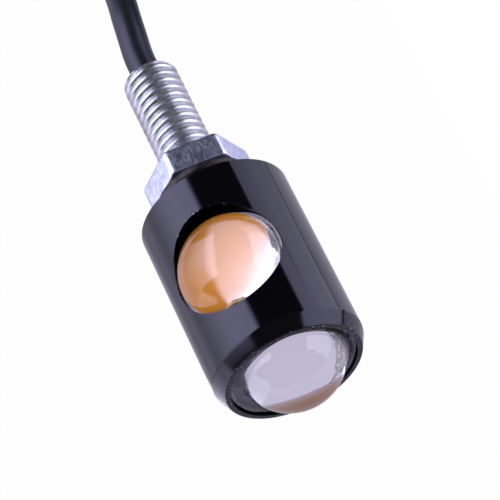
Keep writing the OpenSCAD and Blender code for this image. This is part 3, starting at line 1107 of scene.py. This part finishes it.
def lensShape():
    u = unit
    r = u["lensRadius"]
    sphere = domeRadius()
    base = frontAt - u["skirt"]
    centre = base - u["dome"] + sphere
    corners = [(u["hub"] / 2, frontAt, 0), (r, frontAt, u["lensEdge"]), (r, base + u["domeFrom"], 0)]
    profile = softProfile(corners, False)
    start = math.asin(r / sphere)
    for k in range(u["domeRings"]):
        a = start * (1 - k / u["domeRings"])
        profile.append((sphere * math.sin(a), centre - sphere * math.cos(a)))
    return lathe(profile, u["lensSteps"], False, frontAt, centre - sphere)


def carrierShape():
    u = unit
    bed = frontAt + u["discHigh"]
    low = bed + u["carrierHigh"]
    high = frontAt + u["fit"]
    outer = u["carrierRadius"]
    inner = u["discRadius"]
    under, rim, lip, foot = u["carrierEdges"]
    corners = [
        (u["hub"], low, 0), (outer, low, under), (outer, high, rim),
        (inner + u["fit"], high, lip), (inner - u["discEdge"], bed, foot), (u["hub"], bed, 0),
    ]
    return lathe(softProfile(corners, False), u["steps"], False, low, bed)


def discShape():
    u = unit
    r = u["discRadius"]
    low = frontAt + u["discHigh"] - u["fit"]
    top = frontAt + u["discGap"]   # the lens lies just clear of it
    profile = [(u["hub"], low), (r - u["discEdge"] - u["fit"], low), (r - u["fit"], top + 2 * u["fit"])]
    for k in range(1, u["crownSteps"]):
        t = k / u["crownSteps"]
        profile.append((r * (1 - t) + u["fit"], top + u["crown"] * math.sin(math.pi * t)))
    return lathe(profile, u["steps"], False, low, top)


bed = frontAt + unit["discHigh"]
lensTip = (frontAt + unit["tipFrom"], frontAt + unit["tipFull"])
carrierTip = (bed + unit["carrierHigh"], bed)
for side, where, clear in (("front", None, frontClear), ("side", toSide, sideClear)):
    for label, shape, tip, matter, slotName, node in (
        ("Lens", lensShape(), lensTip, clear, "clear_lens", "_lens"),
        ("Carrier", carrierShape(), carrierTip, carrierWhite, "led_carrier", "_led_base"),
        ("Disc", discShape(), lensTip, amberDisc, "phosphor", "_phosphor"),
    ):
        points, faces = tipped(shape, unit[side + "Lean"], *tip)
        points = [p + Vector(unit[side + "Off"]) for p in points]
        if where:
            points = where(points)
        piece = meshObject(side + label, (points, faces), sharp=40)
        dress(piece, "lamp", slotName, matter, side + node)
        if label == "Lens":
            piece.visible_shadow = False
print("light units made")


# glue: an uneven bead in each gap, drawn up the lens in places
# waves are rows of: size of the noise, height in mm, seed
glueSteps = 360
glueFit = 0.01
frontBead = {
    "floor": -17.8, "climb": 0.06, "climbWaves": [(2.3, 0.06, 3.7), (7, 0.02, 8.7)], "climbLeast": 0.02,
    "filmAt": 90, "filmReach": 36, "filmHigh": 3.6, "filmWaves": [(9, 0.3, 8.7)],   # smeared up the lens here
    "filmThick": (0.09, 0.07), "filmUnder": 0.004, "filmShares": (0, 0.25, 0.5, 0.75, 1),
    "sunkAt": 8, "sunk": 0.6,                                                       # and sunk at the top
    "wall": 0.36, "wallWaves": [(3.1, -0.2, 12.7), (10, -0.04, 5.7)],
    "dip": 0.056, "dipWaves": [(6, 0.12, 10.7)], "hollow": (0.1, -0.12),
    "foot": 0.12, "under": 0.05, "shoulder": 0.18, "sag": 0.3,
}
sideBead = {
    "floor": 2.9, "inner": 0.05, "wall": -0.25, "wallWaves": [(2.5, 0.12, 11), (8, 0.05, 12)],
    "lumpAt": 188, "lumpReach": 36, "lumpHigh": 3.4, "lumpWide": 0.45, "lumpWaves": [(16, 0.12, 15)],
    "crown": 0.02, "slump": 0.1, "onDome": 0.02, "lap": 0.05,
}


def waves(angle, rows):
    return sum(
        high * noise.noise(Vector((math.cos(angle) * size, math.sin(angle) * size, seed)))
        for size, high, seed in rows)


# one at a place round the bead, falling to nought at its reach
def closeTo(angle, at, reach):
    return 1 - ease(abs((math.degrees(angle) - at + 180) % 360 - 180) / reach)


def frontGlueShape():
    g = frontBead
    inner = unit["lensRadius"] + glueFit
    outer = housing["frontBore"] - glueFit
    middle = (inner + outer) / 2
    base = frontAt - unit["skirt"]
    off = Vector(unit["frontOff"])
    sphere = domeRadius()
    centre = base - unit["dome"] + sphere
    lean = unit["frontLean"]
    tip = Vector((-lean[0], 0, -lean[1])) * (sphere - unit["dome"])
    shares = g["filmShares"]
    thick, thinner = g["filmThick"]
    sag = g["sag"]
    columns = []
    for k in range(glueSteps):
        a = 2 * math.pi * k / glueSteps
        film = closeTo(a, g["filmAt"], g["filmReach"]) * g["filmHigh"] * (1 + waves(a, g["filmWaves"]))
        climb = max(g["climbLeast"], g["climb"] + waves(a, g["climbWaves"]) + film)
        level = base + g["sunk"] * max(0, math.cos(a - math.radians(g["sunkAt"])))
        foot = base - min(climb, g["foot"])
        wall = level - g["wall"] + waves(a, g["wallWaves"])
        dip = level - g["dip"] + waves(a, g["dipWaves"])
        upLens = [foot + (base - climb - foot) * share for share in shares]
        onLens = [math.sqrt(sphere ** 2 - (y - centre) ** 2) for y in upLens]
        profile = [
            (inner, g["floor"]), (outer, g["floor"]), (outer, (g["floor"] + base) / 2), (outer, wall),
            (outer - g["shoulder"], wall * (1 - sag) + dip * sag),
            (middle + g["hollow"][0], dip), (middle + g["hollow"][1], dip * (1 - sag) + foot * sag),
        ]
        profile += [(r + thick - thinner * share, y) for r, y, share in zip(onLens, upLens, shares)]
        profile += [(r + g["filmUnder"], y) for r, y in zip(reversed(onLens), reversed(upLens))]
        profile.append((inner, base + g["under"]))
        column = []
        for r, y in profile:
            share = min(1, (outer - r) / (outer - inner))   # follows the lens on the inside, the bore outside
            column.append(turn(r, a, y) + off * share + (tip if y < base else Vector()))
        columns.append(column)
    return skin(list(zip(*columns)), True)


def sideGlueShape():
    g = sideBead
    inner = unit["carrierRadius"] + g["inner"]
    outer = housing["windowRadius"] - glueFit
    lens = unit["lensRadius"] + glueFit
    lean = unit["sideLean"]
    sphere = domeRadius()
    centre = sideAt + unit["skirt"] + unit["dome"] - sphere
    columns = []
    for k in range(glueSteps):
        a = 2 * math.pi * k / glueSteps
        tilt = -(lean[0] * math.sin(a) + lean[1] * math.cos(a)) * lens
        lump = g["lumpHigh"] * closeTo(a, g["lumpAt"], g["lumpReach"]) * (1 + waves(a, g["lumpWaves"]))
        wall = sideAt + tilt + g["wall"] + waves(a, g["wallWaves"])
        top = wall + lump
        slumped = top - g["slump"]
        onDome = lens
        if slumped > sideAt + tilt + unit["skirt"]:
            onDome = min(lens, math.sqrt(sphere ** 2 - (slumped - tilt - centre) ** 2) + g["onDome"])
        onDome = max(onDome, outer - g["lumpWide"])
        profile = [
            (inner, g["floor"]), (outer, g["floor"]), (outer, (g["floor"] + wall) / 2), (outer, top),
            ((outer + onDome) / 2, top + g["crown"] * lump), (onDome, slumped),
            (lens - g["lap"], wall), (inner, wall - g["slump"]),
        ]
        columns.append([
            Vector((r * math.sin(a), housing["windowAt"] + r * math.cos(a), z)) for r, z in profile])
    return skin(list(zip(*columns)), True)


for name, shape, matter, node in (
    ("frontGlueBead", frontGlueShape(), frontGlue, "front_lens_glue"),
    ("sideGlueBead", sideGlueShape(), sideGlue, "side_lens_glue"),
):
    piece = meshObject(name, shape, sharp=60)
    dress(piece, "lamp", "clear_glue", matter, node)
    piece.visible_shadow = False
print("glue drawn")


# chips: moulded bodies with bright ends
chips = {"edge": 0.06, "end": 0.3, "inset": 0.03, "lap": 0.05}


def chipPiece(name, node):
    low, high = [Vector(c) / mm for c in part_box(node)]
    size = high - low
    way = max(range(3), key=lambda i: size[i])
    along = Vector([1.0 if i == way else 0.0 for i in range(3)])
    inset = along * chips["end"] + (Vector((1, 1, 1)) - along) * chips["inset"]
    body = softBox(low + inset, high - inset, chips["edge"])
    cap = along * (size[way] - chips["end"] - chips["lap"])
    ends = [softBox(low, high - cap, chips["edge"]), softBox(low + cap, high, chips["edge"])]
    piece = meshObject(name, joined(body, *ends), sharp=40)
    dress(piece, "lamp", "chip_black", chipBlack, node)
    piece.data.materials.append(solderDull)
    bodyCount = len(body[1])
    for face in piece.data.polygons:
        face.material_index = 0 if face.index < bodyCount else 1


chipPiece("frontResistor", "front_resistor")
chipPiece("sideResistor", "side_resistor")
chipPiece("polarityDiode", "polarity_diode")

# pieces whose solids are already right keep them, with these finishes
kept = {
    "front_board": boardWhite, "side_board": boardWhite,
    "lead_positive": coreRedMatter, "lead_negative": coreBlackMatter,
    "jumper_positive": copperBare, "jumper_negative": copperBare,
    "front_solder": solderDull, "side_solder": solderDull, "potting": pottingResin,
}
for nodeName, matter in kept.items():
    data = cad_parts[nodeName].data
    data.materials.clear()
    data.materials.append(matter)
print("inner pieces finished")


# stage: pale floor, soft lamps, and what gloss and glass see of the studio round them
stage = {
    "floorAt": -8.02,
    # the sheet's outline in metres: its right edge is close by, and it turns out round the coil
    "floor": [(-3, -3), (0.030, -3), (0.030, -0.021), (0.025, -0.010), (0.025, 0.018),
              (0.042, 0.030), (0.042, 0.14), (-3, 0.14)],
    "floorColour": (0.80, 0.74, 0.93),
    "floorFleck": (0.84, 0.84, 0.85),
    "floorTone": {"Scale": 30, "Low": 0.0, "High": 0.15},
    "floorSockets": {"Roughness": 0.9, "Specular IOR Level": 0.1},
    "floorShown": 0.985,     # how far the paper is blown out to white in the picture
    "floorMirrored": 0.88,   # and how much of it glows in metal and glass
    # painted light and shade on the sheet, seen only in metal and glass: painted shade on the left, painted
    # light to the right, far left and in the bright patch, painted shade in the dark gap past the rim
    "floorShadedLeft": (0.57, 0.54, 0.71),
    "floorLitFar": {"colour": (0.95, 0.90, 1.25), "from": (-0.022, -0.048)},
    "floorLitRight": (0.98, 0.94, 1.20),
    "floorAcross": (0.005, 0.021),
    "rim": {"from": (0.0226, 0.0236), "turn": 0.22, "turnFrom": 0.010, "colour": (0.42, 0.41, 0.50),
            "dark": (0.05, 0.05, 0.06), "darkFrom": (-0.006, -0.018)},
    "patch": {"across": (-0.009, -0.012), "along": (-0.010, -0.014), "corner": (-0.0116, -0.0227),
              "way": (-0.59, 0.81), "edge": (0.0, 0.002), "colour": (1.8, 1.76, 2.2)},
    "white": (1.0, 1.0, 1.0),
    "fill": 0.42,
    "tint": (0.76, 0.75, 1.0),
    "sides": 0.12,
    "skirting": {"glow": 2.8, "from": (0.32, 0.18)},   # the lit wall low down on the left
    "front": {"glow": 0.10, "from": (-0.52, -0.62)},
    "behind": {"glow": 0.06, "from": (0.30, 0.42)},
    # angles are degrees right of overhead, seen along +Y; the others are parts of a direction's Y
    "leftBox": {"glow": 4.7, "low": 1.15, "edge": (-12, -22), "edgeTurn": 26, "turnTo": 0.4,
                "front": (-0.43, -0.37), "frontTurn": 0.0038, "rear": (0.92, 0.86), "fade": (-33, -96),
                "far": 0.72, "farFrom": (0.60, 0.80), "farTurn": -30},
    "rightBox": {"glow": 3.4, "low": 0.72, "edge": (61.5, 64.5), "edgeTurn": 9.5, "turnFrom": 0.55,
                 "front": (-0.54, -0.47), "rear": (0.80, 0.70), "fade": (90, 118),
                 "far": 1.42, "farFrom": (0.45, 0.62)},
    "lampsAim": (0, -0.008, 0),
    "lamps": [
        # name, direction from the object, distance, width, height, brightness
        ("leftLamp", (-0.62, 0.30, 0.72), 0.9, 0.6, 0.6, 0.9),
        ("rightLamp", (0.84, 0.36, 0.42), 0.9, 0.5, 0.4, 1.0),
        ("frontLamp", (0.10, -0.85, 0.50), 0.9, 0.5, 0.4, 0.35),
        ("topLamp", (0.15, 0.05, 1.0), 0.9, 0.6, 0.6, 1.5),
    ],
}


def whiteRays(tree):
    path = addNode(tree, "ShaderNodeLightPath").outputs
    mirrored = calc(tree, "ADD", path["Is Glossy Ray"], path["Is Transmission Ray"], True)
    return path["Is Camera Ray"], mirrored


# what metal and glass see of the sheet, with light and shade painted on it: painted shade on its left,
# painted light making it paler to the right and far left, a painted pool of light as a bright patch on it,
# and painted shade in a dark gap past its rim
def sheetLightAndShade(tree):
    x, y = splitSpot(tree, objectSpot(tree))[:2]
    far = stage["floorLitFar"]
    patch = stage["patch"]
    rim = stage["rim"]
    sheet = mixColour(tree, slope(tree, x, *stage["floorAcross"]), stage["floorShadedLeft"], stage["floorLitRight"])
    sheet = mixColour(tree, slope(tree, x, *far["from"]), sheet, far["colour"])
    out = times(tree, plus(tree, x, -patch["corner"][0]), patch["way"][0])
    out = plus(tree, out, times(tree, plus(tree, y, -patch["corner"][1]), patch["way"][1]))
    sides = [slope(tree, value, *patch[key]) for value, key in ((out, "edge"), (x, "across"), (y, "along"))]
    # painted pool of light: the bright patch on the sheet
    sheet = mixColour(tree, times(tree, *sides), sheet, patch["colour"])
    ahead = calc(tree, "MINIMUM", plus(tree, y, rim["turnFrom"]))
    reach = plus(tree, x, times(tree, ahead, rim["turn"]))
    # painted shade in the gap past the sheet's rim
    gap = mixColour(tree, slope(tree, y, *rim["darkFrom"]), rim["colour"], rim["dark"])
    return mixColour(tree, slope(tree, reach, *rim["from"]), sheet, gap)


def makeFloor():
    mesh = bpy.data.meshes.new("floor")
    outline = [(x, y, stage["floorAt"] * mm) for x, y in stage["floor"]]
    mesh.from_pydata(outline, [], [tuple(range(len(outline)))])
    floor = bpy.data.objects.new("floor", mesh)
    scene.collection.objects.link(floor)
    material, tree, shader = startMaterial("floorPaper", stage["floorSockets"])
    tone = useGroup(tree, mottle, stage["floorTone"])
    link(tree, mixColour(tree, tone, stage["floorColour"], stage["floorFleck"]), shader, "Base Color")
    seen, mirrored = whiteRays(tree)
    shown = mixColour(tree, seen, sheetLightAndShade(tree), stage["white"])
    glow = addNode(tree, "ShaderNodeEmission", {"Color": shown, "Strength": 1.0})
    share = mixNumber(tree, seen, times(tree, mirrored, stage["floorMirrored"]), stage["floorShown"])
    mixed = addNode(tree, "ShaderNodeMixShader", {0: share, 1: shader.outputs[0], 2: glow.outputs[0]})
    tree.links.new(mixed.outputs[0], tree.nodes["Material Output"].inputs["Surface"])
    mesh.materials.append(material)


# the studio: a large soft box on the left, a lower one on the right, dark behind
def makeWorld():
    world = bpy.data.worlds.new("studio")
    scene.world = world
    world.use_nodes = True
    tree = world.node_tree
    sky = tree.nodes["Background"]
    seen, mirrored = whiteRays(tree)
    toward = addNode(tree, "ShaderNodeTexCoord").outputs["Generated"]
    x, y, z = splitSpot(tree, toward)
    angle = times(tree, calc(tree, "ARCTAN2", x, z), math.degrees(1))
    level = stage["sides"]
    for value, part in ((z, "skirting"), (y, "front"), (y, "behind")):
        level = mixNumber(tree, slope(tree, value, *stage[part]["from"]), level, stage[part]["glow"])

    box = stage["rightBox"]
    edge = plus(tree, angle, times(tree, plus(tree, y, -box["turnFrom"]), -box["edgeTurn"]))
    inside = times(
        tree, slope(tree, edge, *box["edge"]), slope(tree, y, *box["front"]), slope(tree, y, *box["rear"]))
    glow = mixNumber(tree, slope(tree, y, *box["farFrom"]), box["glow"], box["far"])
    glow = times(tree, glow, mixNumber(tree, slope(tree, angle, *box["fade"]), 1.0, box["low"]))
    level = mixNumber(tree, inside, level, glow)

    box = stage["leftBox"]
    held = calc(tree, "MINIMUM", y, box["turnTo"])
    edge = plus(tree, angle, times(tree, held, -box["edgeTurn"]))
    past = calc(tree, "MAXIMUM", plus(tree, y, -box["farFrom"][0]))
    edge = plus(tree, edge, times(tree, past, box["farTurn"]))
    front = plus(tree, y, times(tree, angle, box["frontTurn"]))
    inside = times(
        tree, slope(tree, edge, *box["edge"]), slope(tree, front, *box["front"]),
        slope(tree, y, *box["rear"]))
    glow = mixNumber(tree, slope(tree, angle, *box["fade"]), box["glow"], box["low"])
    glow = times(tree, glow, mixNumber(tree, slope(tree, y, *box["farFrom"]), 1.0, box["far"]))
    level = mixNumber(tree, inside, level, glow)

    level = mixNumber(tree, mirrored, stage["fill"], level)
    tree.links.new(mixNumber(tree, seen, level, 1.0), sky.inputs["Strength"])
    tree.links.new(mixColour(tree, mirrored, stage["white"], stage["tint"]), sky.inputs["Color"])


def makeLamps():
    centre = Vector(stage["lampsAim"])
    for name, toward, away, wide, high, bright in stage["lamps"]:
        lamp = bpy.data.lights.new(name, "AREA")
        lamp.shape = "RECTANGLE"
        lamp.size = wide
        lamp.size_y = high
        lamp.energy = bright * math.pi * wide * high
        box = bpy.data.objects.new(name, lamp)
        scene.collection.objects.link(box)
        direction = Vector(toward).normalized()
        box.location = centre + direction * away
        box.rotation_euler = (-direction).to_track_quat("-Z", "Y").to_euler()
        box.visible_camera = False
        box.visible_glossy = False
        box.visible_transmission = False


makeFloor()
makeWorld()
makeLamps()
print("stage set")
